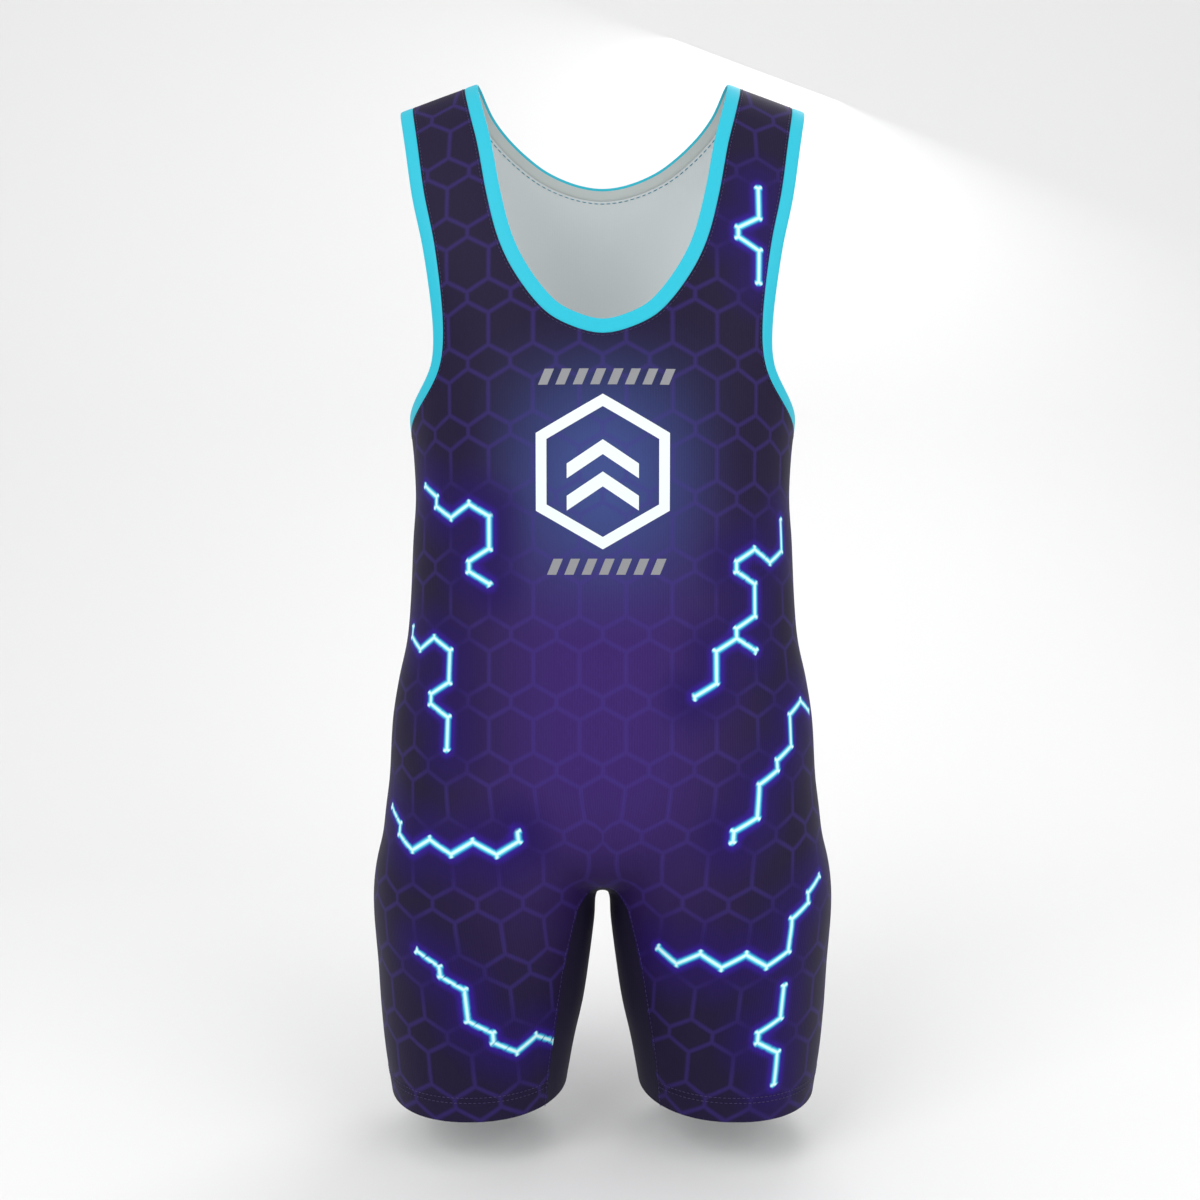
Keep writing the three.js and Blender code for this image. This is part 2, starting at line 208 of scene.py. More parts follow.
def field(p):
    """The worn form as one field: 1 on the cloth, less inside, more outside."""
    x, y, h = p[..., 0], p[..., 1], p[..., 2]
    deep = y / np.where(y < 0, at(SECTIONS, "front", h), at(SECTIONS, "back", h))
    return deep * deep + 1 - width_part(x, h)


def gradient(p):
    steps = np.eye(3) * 0.05
    return np.stack([(field(p + s) - field(p - s)) / 0.1 for s in steps], axis=-1)


def normal(p):
    g = gradient(p)
    return g / np.linalg.norm(g, axis=-1, keepdims=True)


def settle(p, level=False):
    """Brings points on to the form along its own slope; level ones keep their height."""
    p = np.array(p, float)
    for _ in range(22):
        g = gradient(p)
        if level is not False:
            g[..., 2] = np.where(level, 0, g[..., 2])
        step = g * ((1 - field(p)) / np.maximum((g * g).sum(-1), 1e-9))[..., None]
        size = np.linalg.norm(step, axis=-1, keepdims=True)
        p += step * np.minimum(1, 12 / np.maximum(size, 1e-9))
    return p


def even(line, count, level=False):
    """Even stations along a line of points, back on the form."""
    line = np.asarray(line)
    run = np.concatenate([[0], np.cumsum(np.linalg.norm(np.diff(line, axis=0), axis=1))])
    want = np.linspace(0, run[-1], count + 1)
    out = np.stack([np.interp(want, run, line[:, c]) for c in range(3)], axis=1)
    out[1:-1] = settle(out[1:-1], level)
    return out


def through(points, first, last):
    """Smooth line on the form through a table of points."""
    points = np.array(points, float)
    knots = np.concatenate([[0], np.cumsum(np.linalg.norm(np.diff(points, axis=0), axis=1))])
    want = np.linspace(knots[first], knots[last], 40 * (last - first) + 1)
    return settle(hermite(knots, points, slopes_of(knots, points), want))


def mirrored(p):
    return np.asarray(p) * (-1, 1, 1)


def across(line, distance, sign=1):
    """Steps across the cloth, square to a line of stations."""
    line = np.asarray(line)
    n = len(line)
    along = line[np.minimum(np.arange(n) + 1, n - 1)] - line[np.maximum(np.arange(n) - 1, 0)]
    central = np.abs(line[:, 0]) < 1e-6
    along[central] = np.sign(along[central][:, :1]) * (1, 0, 0)
    out = np.cross(along, normal(line))
    out /= np.linalg.norm(out, axis=1, keepdims=True)
    moved = settle(line + sign * distance * out)
    moved[central, 0] = 0
    return moved


def neck_across(distance):
    """The neck edge moved across the cloth: front and back halves, each from the strap's top."""
    line = np.concatenate([neck_edge[-1][::-1], neck_edge[1][1:]])
    moved = across(line, distance) if distance else line
    n = len(neck_edge[-1])
    return {-1: moved[:n][::-1], 1: moved[n - 1:]}


def arm_across(distance):
    """The armhole edge moved across the cloth: front and back halves, each from the top."""
    line = np.concatenate([arm_edge[1][1:2], arm_edge[-1], arm_edge[1][:-1][::-1]])
    moved = (across(line, distance) if distance else line)[1:]
    n = len(arm_edge[-1])
    return {-1: moved[:n], 1: np.concatenate([moved[:1], moved[n:-1][::-1], moved[n - 1:n]])}


def between(left, right, cols, side):
    """Grid of even stations between two edge lines, bowed over the form."""
    t = np.linspace(0, 1, 2 * cols + 1)[None, :, None]
    fine = left[:, None] * (1 - t) + right[:, None] * t
    bow = side * 0.8 * np.maximum(np.linalg.norm(left - right, axis=1) - 60, 0)
    fine[..., 1] += bow[:, None] * (t * (1 - t))[..., 0]
    level = ((left[:, 2] == HEM_H) & (right[:, 2] == HEM_H))[:, None]
    fine[:, 1:-1] = settle(fine[:, 1:-1], level)
    out = np.empty((len(left), cols + 1, 3))
    for r, line in enumerate(fine):
        run = np.concatenate([[0], np.cumsum(np.linalg.norm(np.diff(line, axis=0), axis=1))])
        want = np.linspace(0, run[-1], cols + 1)
        out[r] = np.stack([np.interp(want, run, line[:, c]) for c in range(3)], axis=1)
    out[:, 1:-1] = settle(out[:, 1:-1], level)
    return out


def seam_of(side):
    """Gusset seam of one side of the garment, from the middle of the crotch to the hem."""
    rows = []
    for x, h in GUSSET_SEAM:
        depth = at(SECTIONS, "front" if side < 0 else "back", h)
        rows.append((x, side * depth * np.sqrt(max(width_part(np.float64(x), h), 0)), h))
    line = [mirrored(rows[2]), mirrored(rows[1]), *rows]
    seam = even(through(line, 2, len(line) - 1), LEG_ROWS)
    seam[0, 0] = 0
    seam[-1, 2] = HEM_H
    return seam


def to_hem(line):
    line[-1, 2] = HEM_H
    line[-1:] = settle(line[-1:], True)
    return line


def panel_grid(side):
    """One half of the front (side -1) or back (side 1) panel."""
    neck, arm = neck_across(BAND_W + SEAM_GAP)[side], arm_across(BAND_W + SEAM_GAP)[side]
    seam = to_hem(across(seam_of(side), SEAM_GAP / 2, side))
    rows = ARM_ROWS + SIDE_ROWS - NECK_ROWS[side]
    h = np.linspace(neck[-1, 2], seam[0, 2], 3 * rows + 1)
    middle = settle(np.stack([0 * h, 0 * h + 60 * side, h], axis=1))
    middle[:, 0] = 0
    middle[0], middle[-1] = neck[-1], seam[0]
    middle = even(middle, rows)

    def flank(top, low, count):
        h = np.linspace(top, low, 3 * count + 1)
        line = np.stack([at(SECTIONS, "half", h), 0 * h + side * SEAM_GAP / 2, h], axis=1)
        return even(settle(line, True), count, True)

    upper = flank(arm[-1, 2], SIDE_AT_CROTCH_H, SIDE_ROWS)
    lower = flank(SIDE_AT_CROTCH_H, HEM_H, LEG_ROWS)
    shift = np.array((0, side * SEAM_GAP / 2, 0))
    left = np.concatenate([settle(neck[:1] + shift), neck[1:], middle[1:], seam[1:]])
    right = np.concatenate([settle(arm[:1] + shift), arm[1:-1], upper, lower[1:]])
    return between(left, right, PANEL_COLS, side)


def shell(name, grids, thick, inks, lift=None, cuff=0):
    """Closed cloth over grids of outer points, as an object in metres. thick and lift give each
    point's thickness and rise; inks are the materials of the outer face, reverse and cut edge.
    The first cuff columns of the reverse show the outer face's material."""
    points = np.concatenate([g.reshape(-1, 3) for g in grids])
    rise = np.zeros(len(points)) if lift is None else np.concatenate([a.ravel() for a in lift])
    deep = np.concatenate([a.ravel() for a in thick])
    quads, start = [], 0
    for g in grids:
        index = start + np.arange(g.shape[0] * g.shape[1]).reshape(g.shape[:2])
        quads.append(np.stack([index[:-1, :-1], index[:-1, 1:], index[1:, 1:], index[1:, :-1]], -1)
                     .reshape(-1, 4))
        start += index.size
    quads = np.concatenate(quads)
    _, keep, where = np.unique(np.round(points * 500).astype(int) + 0, axis=0, return_index=True,
                               return_inverse=True)
    where = where.ravel()
    quads = where[quads]
    points, rise, deep = points[keep], rise[keep], deep[keep]
    centre = points[quads].mean(axis=1)
    face = np.cross(points[quads[:, 2]] - points[quads[:, 0]], points[quads[:, 3]] - points[quads[:, 1]])
    turned = (face * normal(centre)).sum(axis=1) < 0
    quads[turned] = quads[turned][:, ::-1]
    n = len(points)
    edge = np.stack([quads, np.roll(quads, -1, axis=1)], axis=-1).reshape(-1, 2)
    rim = edge[~np.isin(edge[:, 0] * n + edge[:, 1], edge[:, 1] * n + edge[:, 0])]
    out = normal(points)
    place = np.concatenate([points + out * rise[:, None], points + out * (rise - deep)[:, None]])
    rims = np.stack([rim[:, 0], rim[:, 0] + n, rim[:, 1] + n, rim[:, 1]], axis=1)
    faces = np.concatenate([quads, quads[:, ::-1] + n, rims])
    mesh = bpy.data.meshes.new(name)
    mesh.from_pydata(((place - (0, 0, SHOULDER_H)) / 1000).tolist(), [], faces.tolist())
    for ink in inks:
        mesh.materials.append(ink)
    part = np.repeat((0, 1, 2), (len(quads), len(quads), len(rims)))
    if cuff:
        column_of = np.arange(len(quads)) % (grids[0].shape[1] - 1)
        part[len(quads):2 * len(quads)][column_of < cuff] = 0
    mesh.polygons.foreach_set("material_index", part)
    mesh.shade_smooth()
    mesh.set_sharp_from_angle(angle=0.7)
    made = bpy.data.objects.new(name, mesh)
    bpy.context.scene.collection.objects.link(made)
    return made, np.concatenate([points, points])


def print_map(p, side):
    """Where a point of a panel lies on the flat print: along the width from the middle, and up."""
    x, h = np.abs(p[:, 0]), p[:, 2]
    half, inner = at(SECTIONS, "half", h), at(INNER, "inner", h)
    depth = at(SECTIONS, "front" if side < 0 else "back", h)
    middle = (half + inner) / 2

    def run(start, end):
        a, b = [np.arcsin(np.clip(v / half, -1, 1)) for v in (start, end)]
        t = a + (b - a) * np.linspace(0, 1, 60)[:, None]
        xs = half * np.sin(t)
        ys = depth * np.sqrt(np.maximum(width_part(xs, np.broadcast_to(h, xs.shape)), 0))
        return np.hypot(np.diff(xs, axis=0), np.diff(ys, axis=0)).sum(axis=0) * np.sign(end - start)

    leg = np.clip((-130 - h) / 100, 0, 1)
    leg = leg * leg * (3 - 2 * leg)
    u = (1 - leg) * run(0 * x, x) + leg * (103 + run(middle, x))
    u += 0.15 * np.maximum(-190 - h, 0) ** 1.5 / np.sqrt(40 + np.maximum(-190 - h, 0))
    return np.stack([u * np.sign(p[:, 0]), h], axis=1)


# The print's honeycomb: rows of tall cells and of short cells by turns, sizes in millimetres
CELL_W = 35
TALL_SIDE = 24.5
CELL_RISE = 9.7
SHORT_SIDE = 7.5
PERIOD = TALL_SIDE + SHORT_SIDE + 2 * CELL_RISE


def honeycomb_routes(routes):
    """Lines along the honeycomb's own edges that follow routes of (u, v) places."""
    spots, joins = {}, {}

    def join(a, b):
        a, b = [(round(u, 2), round(v, 2)) for u, v in (a, b)]
        joins.setdefault(a, []).append(b)
        joins.setdefault(b, []).append(a)

    for r in range(-12, 12):
        v = r * PERIOD
        for k in range(-12, 13):
            u = k * CELL_W
            for side in (-1, 1):
                foot = (u + side * CELL_W / 2, v + TALL_SIDE / 2)
                join((u, v + TALL_SIDE / 2 + CELL_RISE), foot)
                join((u, v - TALL_SIDE / 2 - CELL_RISE), (foot[0], v - TALL_SIDE / 2))
            join((u + CELL_W / 2, v - TALL_SIDE / 2), (u + CELL_W / 2, v + TALL_SIDE / 2))
            join((u, v + PERIOD / 2 - SHORT_SIDE / 2), (u, v + PERIOD / 2 + SHORT_SIDE / 2))
    names = np.array(list(joins))
    lines = []
    for route in routes:
        ends = [tuple(names[np.hypot(*(names - q).T).argmin()]) for q in np.array(route, float)]
        for a, b in zip(ends, ends[1:]):
            a, b = tuple(map(float, a)), tuple(map(float, b))
            way = np.array(b) - a
            way /= max(np.hypot(*way), 1e-9)
            heap, best = [(0.0, a)], {a: (0.0, None)}
            while heap:
                cost, here = heapq.heappop(heap)
                if here == b:
                    break
                for there in joins[here]:
                    off = np.array(there) - a
                    far = abs(off[0] * way[1] - off[1] * way[0])
                    step = cost + np.hypot(*np.subtract(there, here)) * (1 + far / 12)
                    if step < best.get(there, (1e9,))[0]:
                        best[there] = (step, here)
                        heapq.heappush(heap, (step, there))
            here = b
            while best[here][1] is not None:
                lines.append((here, best[here][1]))
                here = best[here][1]
    return np.array(lines)


def lit_distance(uv, lines):
    """Distance of each place on the print from the nearest lit line."""
    a, b = lines[:, 0], lines[:, 1]
    along = b - a
    t = ((uv[:, None] - a) * along).sum(-1) / (along * along).sum(-1)
    near = a + np.clip(t, 0, 1)[..., None] * along
    return np.hypot(*(uv[:, None] - near).transpose(2, 0, 1)).min(axis=1)


def with_print(made, points, side, routes):
    """Gives a panel its print's own map and the distance to the lit lines."""
    uv = print_map(points, side)
    mesh = made.data
    corner = np.empty(len(mesh.loops), int)
    mesh.loops.foreach_get("vertex_index", corner)
    mesh.uv_layers.new(name="print").data.foreach_set("uv", (uv[corner] / 1000).ravel())
    lit = mesh.attributes.new("lit", "FLOAT", "POINT")
    lit.data.foreach_set("value", lit_distance(uv, honeycomb_routes(routes)) / 1000)


def printed_knit():
    """Dark stretch knit with the honeycomb printed on it, some of its lines bright, and painted
    highlights over the belly and chest.
    """
    made = material("printed_stretch_knit", Roughness=0.6, Specular_IOR_Level=0.15)
    tree = made.node_tree
    shader = tree.nodes["Principled BSDF"]
    flat = node(tree, "ShaderNodeUVMap", uv_map="print").outputs[0]
    place = node(tree, "ShaderNodeSeparateXYZ", {0: flat}).outputs
    spot = node(tree, "ShaderNodeTexCoord").outputs["Object"]
    spot = node(tree, "ShaderNodeSeparateXYZ", {0: spot}).outputs
    known = {
        "along": place["X"],
        "rise": place["Y"],
        "x": spot["X"],
        "y": spot["Y"],
        "z": spot["Z"],
        "lit": node(tree, "ShaderNodeAttribute", attribute_name="lit").outputs["Fac"],
    }
    half_w, half_p = CELL_W / 2000, PERIOD / 2000
    knee, top = TALL_SIDE / 2000, (TALL_SIDE / 2 + CELL_RISE) / 1000
    slant = np.hypot(CELL_RISE, CELL_W / 2)
    # Columns: new value, operation and its inputs, in metres; a fade has its near, far and height
    steps = (
        ("u", "PINGPONG", "along", half_w),
        ("v", "PINGPONG", "rise", half_p),
        ("beside", "SUBTRACT", half_w, "u"),
        ("above", "SUBTRACT", "v", knee),
        ("upright", "MAXIMUM", "beside", "above"),
        ("below", "SUBTRACT", top, "v"),
        ("short", "MAXIMUM", "u", "below"),
        ("climb", "MULTIPLY", "v", CELL_W / 2 / slant),
        ("lean", "MULTIPLY_ADD", "u", CELL_RISE / slant, "climb"),
        ("off_slant", "SUBTRACT", "lean", top * CELL_W / 2 / slant),
        ("diagonal", "ABSOLUTE", "off_slant"),
        ("straight", "MINIMUM", "upright", "short"),
        ("edge", "MINIMUM", "straight", "diagonal"),
        ("wide", "ABSOLUTE", "x"),
        # Painted highlight: lighter colour over the middle of the trunk round the belly, fading to darker
        # sides, as light falls on the rounded form
        ("over_belly", "ADD", "z", 0.5),
        ("off_belly", "ABSOLUTE", "over_belly"),
        ("belly", "FADE", "off_belly", 0.03, 0.26, 1),
        ("centre", "FADE", "wide", 0.02, 0.15, 1),
        ("belly_painted_highlight", "MULTIPLY", "belly", "centre"),
        # Painted highlight: a lighter patch over the front of the chest, fading outwards, where light
        # falls on it
        ("over_chest", "ADD", "z", 0.325),
        ("off_chest", "ABSOLUTE", "over_chest"),
        ("chest", "FADE", "off_chest", 0, 0.13, 1),
        ("ahead", "FADE", "y", -0.02, 0, 1),
        ("chest_ahead", "MULTIPLY", "chest", "ahead"),
        ("chest_middle", "FADE", "wide", 0, 0.11, 1),
        ("chest_painted_highlight", "MULTIPLY", "chest_ahead", "chest_middle"),
        ("cell_line", "FADE", "edge", 0.0003, 0.0029, 0.34),
        ("wide_glow", "FADE", "lit", 0.004, 0.04, 0.85),
        ("close_glow", "FADE", "lit", 0.0015, 0.01, 0.75),
        ("near", "FADE", "lit", 0.0028, 0.0044, 1),
        ("rim_edge", "FADE", "edge", 0.0022, 0.0042, 1),
        ("rim", "MULTIPLY", "near", "rim_edge"),
        ("line_edge", "FADE", "edge", 0.0012, 0.003, 1),
        ("line", "MULTIPLY", "near", "line_edge"),
        ("core_edge", "FADE", "edge", 0.0003, 0.0017, 1),
        ("core", "MULTIPLY", "near", "core_edge"),
    )
    for name, work, value, *rest in steps:
        if work == "FADE":
            keys = ("From Min", "From Max", "To Min")
            inputs = {"Value": known[value], **dict(zip(keys, rest)), "To Max": 0}
            step = node(tree, "ShaderNodeMapRange", inputs, interpolation_type="SMOOTHSTEP")
        else:
            inputs = {i: known.get(v, v) for i, v in enumerate((value, *rest))}
            step = node(tree, "ShaderNodeMath", inputs, operation=work)
        known[name] = step.outputs[0]
    cloth = linear("#170d2e")
    for amount, colour in (
        # Painted highlight over the belly, darker towards the sides
        ("belly_painted_highlight", "#331c60"),
        # Painted highlight over the front of the chest
        ("chest_painted_highlight", "#37467e"),
        ("cell_line", "#3d2c80"),
        ("wide_glow", "#1c0650"),
        ("close_glow", "#34129c"),
        ("rim", "#1b6fb0"),
        ("line", "#52cbe2"),
        ("core", "#cdeef0"),
    ):
        inputs = {"Factor": known[amount], 6: cloth, 7: linear(colour)}
        cloth = node(tree, "ShaderNodeMix", inputs, data_type="RGBA").outputs[2]
    tree.links.new(cloth, shader.inputs["Base Color"])
    rib = node(tree, "ShaderNodeTexWave", {"Vector": flat, "Scale": 160, "Distortion": 0.4},
               bands_direction="X")
    bump = node(tree, "ShaderNodeBump", {"Height": rib.outputs["Fac"], "Distance": 0.00008,
                "Strength": 0.5})
    tree.links.new(bump.outputs[0], shader.inputs["Normal"])
    return made


def plain_knit(name, colour, rough=0.7):
    """Plain stretch knit with a fine rib of 0.8 mm."""
    made = material(name, Base_Color=linear(colour), Roughness=rough, Specular_IOR_Level=0.2)
    tree = made.node_tree
    spot = node(tree, "ShaderNodeTexCoord").outputs["Object"]
    rib = node(tree, "ShaderNodeTexWave", {"Vector": spot, "Scale": 200, "Distortion": 1})
    bump = node(tree, "ShaderNodeBump", {"Height": rib.outputs["Fac"], "Distance": 0.00006,
                "Strength": 0.4})
    tree.links.new(bump.outputs[0], tree.nodes["Principled BSDF"].inputs["Normal"])
    return made


neck_line = [mirrored(NECK_EDGE[-1][2]), mirrored(NECK_EDGE[-1][1]), *NECK_EDGE[-1], NECK_TOP,
             *NECK_EDGE[1], mirrored(NECK_EDGE[1][-2]), mirrored(NECK_EDGE[1][-3])]
arm_line = [ARM_EDGE[1][-1], ARM_TOP, *ARM_EDGE[-1], ARM_LOW, *ARM_EDGE[1], ARM_TOP, ARM_EDGE[-1][0]]
neck_crown = 2 + len(NECK_EDGE[-1])
arm_under = 2 + len(ARM_EDGE[-1])
neck_edge = {
    -1: even(through(neck_line, 2, neck_crown), NECK_ROWS[-1])[::-1],
    1: even(through(neck_line, neck_crown, neck_crown + len(NECK_EDGE[1])), NECK_ROWS[1]),
}
arm_edge = {
    -1: even(through(arm_line, 1, arm_under), ARM_ROWS),
    1: even(through(arm_line, arm_under, len(arm_line) - 2), ARM_ROWS)[::-1],
}
for line in neck_edge.values():
    line[-1, 0] = 0
PRINTED = printed_knit()
REVERSE = plain_knit("knit_reverse", "#ccd2d3", 0.8)
LIT_FRONT = [
    [(-165, 95), (-100, 60), (-85, 10)],
    [(-170, -20), (-120, -60), (-125, -110)],
    [(-190, -170), (-120, -200), (-60, -175)],
    [(-150, -260), (-110, -330), (-60, -350)],
    [(165, 60), (115, 20), (120, -40), (75, -75)],
    [(185, -90), (120, -130), (110, -190)],
    [(190, -230), (140, -270), (60, -262)],
    [(150, -300), (165, -370)],
    [(125, 250), (118, 330)],
]


HEM_EXTRA = 0.7
HEM_SLOPE = 1.5


def hem_thick(grid):
    """Thickness of the cloth at each point, a little more where the hem is turned inside."""
    turned = np.clip((HEM_H + HEM_FOLD - grid[..., 2]) / HEM_SLOPE, 0, 1)
    return PANEL_T + HEM_EXTRA * turned


def panel(name, side, routes):
    """The whole front or back panel, both halves, with its print."""
    grid = panel_grid(side)
    thick = hem_thick(grid)
    made, points = shell(name, [grid, mirrored(grid)], [thick, thick], [PRINTED, REVERSE, PRINTED])
    with_print(made, points, side, routes)
    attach(made, "root")
    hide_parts(name)
    made.name = "cloth_" + name
    return made


front = panel("front_panel", -1, LIT_FRONT)

# Back panel: the same printed knit, cut higher at the neck than the front and in one piece too.
# It is sewn to the front at the sides and shoulders and to the gusset at the inner legs.
LIT_BACK = [
    [(-170, 80), (-105, 50), (-110, -10)],
    [(175, 20), (110, -20), (60, 0), (40, 60)],
    [(-185, -110), (-110, -90), (-60, -130)],
    [(190, -170), (120, -200), (130, -290)],
    [(-140, -260), (-90, -320)],
    [(-60, 190), (-90, 250), (-70, 310)],
]
back = panel("back_panel", 1, LIT_BACK)

# Gusset: a strip of plain dark stretch knit from one hem over the crotch to the other.
# It is sewn between the front and back panels down both inner legs.
PLAIN = plain_knit("plain_dark_knit", "#17112a")


def gusset_grid():
    a, b = [to_hem(across(seam_of(side), -SEAM_GAP / 2, side)) for side in (-1, 1)]
    t = np.linspace(0, 1, 3 * GUSSET_COLS + 1)
    fine = a[:, None] * (1 - t)[:, None] + b[:, None] * t[:, None]
    fine[1:, :, 0] -= 10 * t * (1 - t)
    fine[0, :, 2] -= 20 * t * (1 - t)
    level = np.zeros((len(a), 1), bool)
    level[-1] = True
    fine[:, 1:-1] = settle(fine[:, 1:-1], level)
    out = np.stack([even(line, GUSSET_COLS, i == len(fine) - 1) for i, line in enumerate(fine)])
    out[0, :, 0] = 0
    return out


grid = gusset_grid()
gusset, _ = shell("gusset", [grid, mirrored(grid)], [hem_thick(grid)] * 2, [PLAIN] * 3)
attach(gusset, "root")
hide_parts("crotch_gusset")

# Neck band: cyan elastic knit folded double, with a pale grey reverse.
# It is sewn edge to edge round the neck opening and stands a little proud of the panels.
BAND_T = 2
BAND_LIFT = 0.25
BAND_COLS = 10
CYAN = plain_knit("cyan_elastic_knit", "#28b5cb", 0.5)
CYAN_REVERSE = plain_knit("band_reverse", "#bcc3c1", 0.8)


def band(name, node_name, edge_across, both, flip=False):
    t = np.linspace(0, 1, BAND_COLS + 1)
    parts = [edge_across(d) for d in t * BAND_W]
    grids = [np.stack([part[side] for part in parts], axis=1) for side in (-1, 1)]
    if both:
        grids += [mirrored(g) for g in grids]
    if flip:
        grids = [mirrored(g) for g in grids]
    soft = 0.55 * np.abs(2 * t - 1) ** 6
    lift = [np.broadcast_to(BAND_LIFT - soft, g.shape[:2]) for g in grids]
    thick = [np.broadcast_to(BAND_T - 2 * soft, g.shape[:2]) for g in grids]
    made, _ = shell(name, grids, thick, [CYAN, CYAN_REVERSE, CYAN], lift, 2)
    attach(made, "root")
    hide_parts(node_name)
    return made


neck_band = band("cloth_neck_band", "neck_band", neck_across, True)

# Armhole bands: the same folded cyan elastic knit, one closed ring round each armhole.
# Each is sewn edge to edge to the panels, and the right one mirrors the left.
arm_bands = [
    band("cloth_armhole_band_left", "armhole_band_left", arm_across, False),
    band("cloth_armhole_band_right", "armhole_band_right", arm_across, False, True),
]

# Chest badge: a thin white and grey heat-pressed film, a plain hexagon with two chevrons between
# rows of slanted bars. It is laid on the front panel's own form.
BADGE_H = 96
BADGE_R = 58
FILM_T = 0.12
WHITE_FILM = material("white_film", Base_Color=linear("#dfe7e6"), Roughness=0.45)
GREY_FILM = material("grey_film", Base_Color=linear("#85868a"), Roughness=0.45)


def film(name, shapes, ink):
    """Thin film of four-cornered shapes given as (x, h) corners in order."""
    s, t = np.meshgrid(np.linspace(0, 1, 9), np.linspace(0, 1, 4))
    grids = []
    for a, b, c, d in np.array(shapes, float):
        s1, t1 = s[..., None], t[..., None]
        flat = (a * (1 - s1) + b * s1) * (1 - t1) + (d * (1 - s1) + c * s1) * t1
        x, h = flat[..., 0], flat[..., 1]
        y = -at(SECTIONS, "front", h) * np.sqrt(width_part(x, h))
        grids.append(np.stack([x, y, h], axis=-1))
    flats = [np.ones(g.shape[:2]) for g in grids]
    made, _ = shell(name, grids, [0.1 * f for f in flats], [ink] * 3, [FILM_T * f for f in flats])
    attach(made, "root")
    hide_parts("front_panel")
    return made


corners = np.array([(np.sin(a), np.cos(a)) for a in np.radians(np.arange(0, 361, 60))])
middle = np.array((0, BADGE_H))
shapes = [
    (middle + BADGE_R * a, middle + BADGE_R * b, middle + 0.84 * BADGE_R * b, middle + 0.84 * BADGE_R * a)
    for a, b in zip(corners, corners[1:])
]
for low in (-22, 2):
    tip, foot, thick = middle + (0, low + 22), low + BADGE_H, 11
    for side in (-1, 1):
        end = np.array((side * 27, foot + 4))
        shapes.append((tip, end, end - (0, thick), tip - (0, thick)))
badge = film("badge_hexagon", shapes, WHITE_FILM)
bars = []
for row, count in ((BADGE_H + 71, 8), (BADGE_H - 71, 7)):
    for k in range(count):
        x = (k - (count - 1) / 2) * 13
        bars.append([(x + 2, row + 6), (x + 9, row + 6), (x + 4, row - 6), (x - 3, row - 6)])
badge_bars = film("badge_bars", bars, GREY_FILM)

# Sewing: coverstitch beside the bands, flat seams at sides and inner legs, and twin-needle hems.
# Each run is a line of polyester stitches laid by one set of nodes along the seam.
STITCH_PITCH = 3.6
STITCH_LENGTH = 2.7
STITCH_WIDTH = 0.55
DARK_THREAD = material("dark_polyester_thread", Base_Color=linear("#2c2250"), Roughness=0.5)
CYAN_THREAD = material("cyan_polyester_thread", Base_Color=linear("#17809a"), Roughness=0.5)

stitch_tree = bpy.data.node_groups.new("stitch_run", "GeometryNodeTree")
for label, kind in (("Geometry", "Geometry"), ("Pitch", "Float"), ("Length", "Float"),
                    ("Width", "Float"), ("Thread", "Material")):
    stitch_tree.interface.new_socket(label, in_out="INPUT", socket_type="NodeSocket" + kind)
stitch_tree.interface.new_socket("Geometry", in_out="OUTPUT", socket_type="NodeSocketGeometry")
given = node(stitch_tree, "NodeGroupInput").outputs
run = node(stitch_tree, "GeometryNodeMeshToCurve", {"Mesh": given["Geometry"]})
run = node(stitch_tree, "GeometryNodeResampleCurve", {"Curve": run, "Length": given["Pitch"]},
           mode="LENGTH")
bead = node(stitch_tree, "GeometryNodeMeshUVSphere", {"Segments": 6, "Rings": 4, "Radius": 0.5})
size = node(stitch_tree, "ShaderNodeCombineXYZ", {"X": given["Width"], "Y": given["Width"],
                                                  "Z": given["Length"]})
bead = node(stitch_tree, "GeometryNodeTransform", {"Geometry": bead, "Scale": size})
turn = node(stitch_tree, "FunctionNodeAlignRotationToVector",
            {"Vector": node(stitch_tree, "GeometryNodeInputTangent")}, axis="Z")
laid = node(stitch_tree, "GeometryNodeInstanceOnPoints",
            {"Points": run, "Instance": bead, "Rotation": turn})
plain = node(stitch_tree, "GeometryNodeRealizeInstances", {"Geometry": laid})
inked = node(stitch_tree, "GeometryNodeSetMaterial", {"Geometry": plain, "Material": given["Thread"]})
node(stitch_tree, "NodeGroupOutput", {"Geometry": inked})


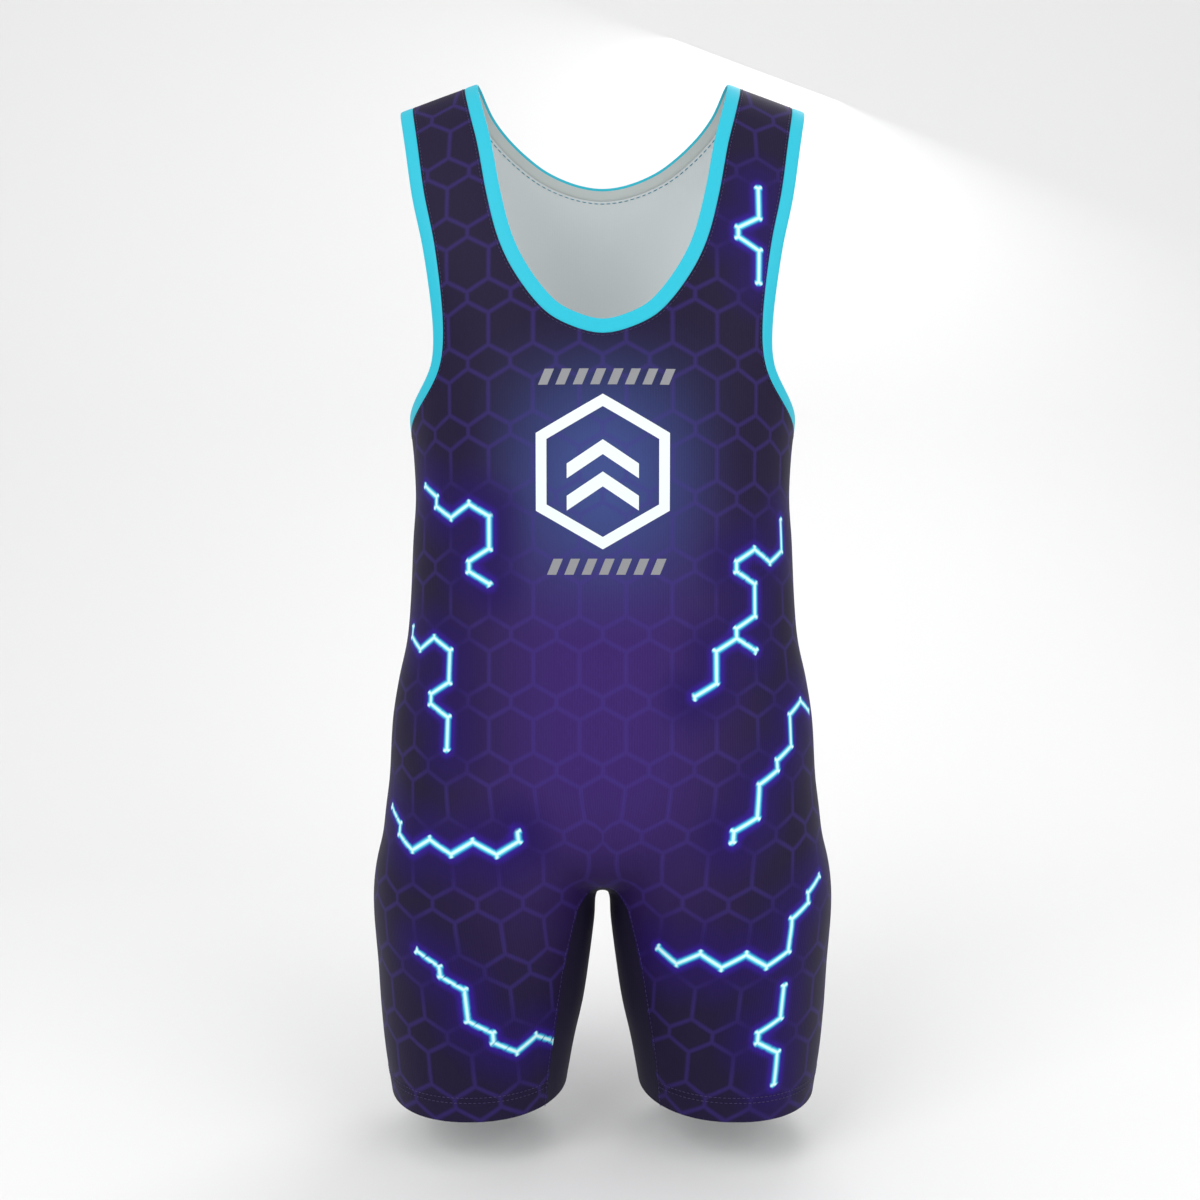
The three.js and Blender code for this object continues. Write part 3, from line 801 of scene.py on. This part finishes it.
def stitches(name, node_name, lines, off, thread, scale=1.0):
    """One object of stitches along lines on the form, raised off it by off millimetres."""
    spots, links = [], []
    for line in lines:
        start = len(spots)
        place = (line + normal(line) * off - (0, 0, SHOULDER_H)) / 1000
        spots.extend(place.tolist())
        links.extend((i, i + 1) for i in range(start, len(spots) - 1))
    mesh = bpy.data.meshes.new(name)
    mesh.from_pydata(spots, links, [])
    made = bpy.data.objects.new(name, mesh)
    bpy.context.scene.collection.objects.link(made)
    runs = made.modifiers.new("stitches", "NODES")
    runs.node_group = stitch_tree
    values = {"Pitch": scale * STITCH_PITCH / 1000, "Length": scale * STITCH_LENGTH / 1000,
              "Width": scale * STITCH_WIDTH / 1000, "Thread": thread}
    for item in stitch_tree.interface.items_tree:
        if item.name in values:
            runs[item.identifier] = values[item.name]
    ready = made.evaluated_get(bpy.context.evaluated_depsgraph_get())
    made.data = bpy.data.meshes.new_from_object(ready)
    made.modifiers.clear()
    made.data.shade_smooth()
    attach(made, "root")
    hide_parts(node_name)
    return made


def both(line):
    return [line, mirrored(line)]


def leg_ring(h, side):
    """Half of a leg's outline at one height, from the gusset seam to the side seam."""
    start = seam_of(side)
    start = np.interp(h, start[::-1, 2], start[::-1, 0])
    half, inner = [at(table, key, np.float64(h)) for table, key in ((SECTIONS, "half"), (INNER, "inner"))]
    middle, reach = (half + inner) / 2, (half - inner) / 2
    angle = np.linspace(np.arccos((start + 2 - middle) / reach), 0.03, 60)
    x = middle + reach * np.cos(angle)
    depth = at(SECTIONS, "front" if side < 0 else "back", h + 0 * x)
    return np.stack([x, side * depth * np.sqrt(np.maximum(width_part(x, h + 0 * x), 0)), h + 0 * x], 1)


neck_run, arm_run = neck_across(BAND_W + 2), arm_across(BAND_W + 2)
h = np.linspace(132, HEM_H + 4, 110)
for side, key, piece in ((-1, "front", "front_panel"), (1, "back", "back_panel")):
    flank = settle(np.stack([at(SECTIONS, "half", h), 0 * h + side * 2.2, h], axis=1), True)
    inner_seam = across(seam_of(side), 2.2, side)
    hems = [leg_ring(HEM_H + rise, side) for rise in (15, 19)]
    dark = [neck_run[side], arm_run[side], flank, inner_seam, *hems]
    stitches(key + "_stitches", piece,
                 [part for line in dark for part in both(line)], 0.12, DARK_THREAD)
    stitches(key + "_inner_stitches", piece,
                 [part for line in dark[:2] for part in both(line)], -PANEL_T - 0.12, CYAN_THREAD,
                 1.5)
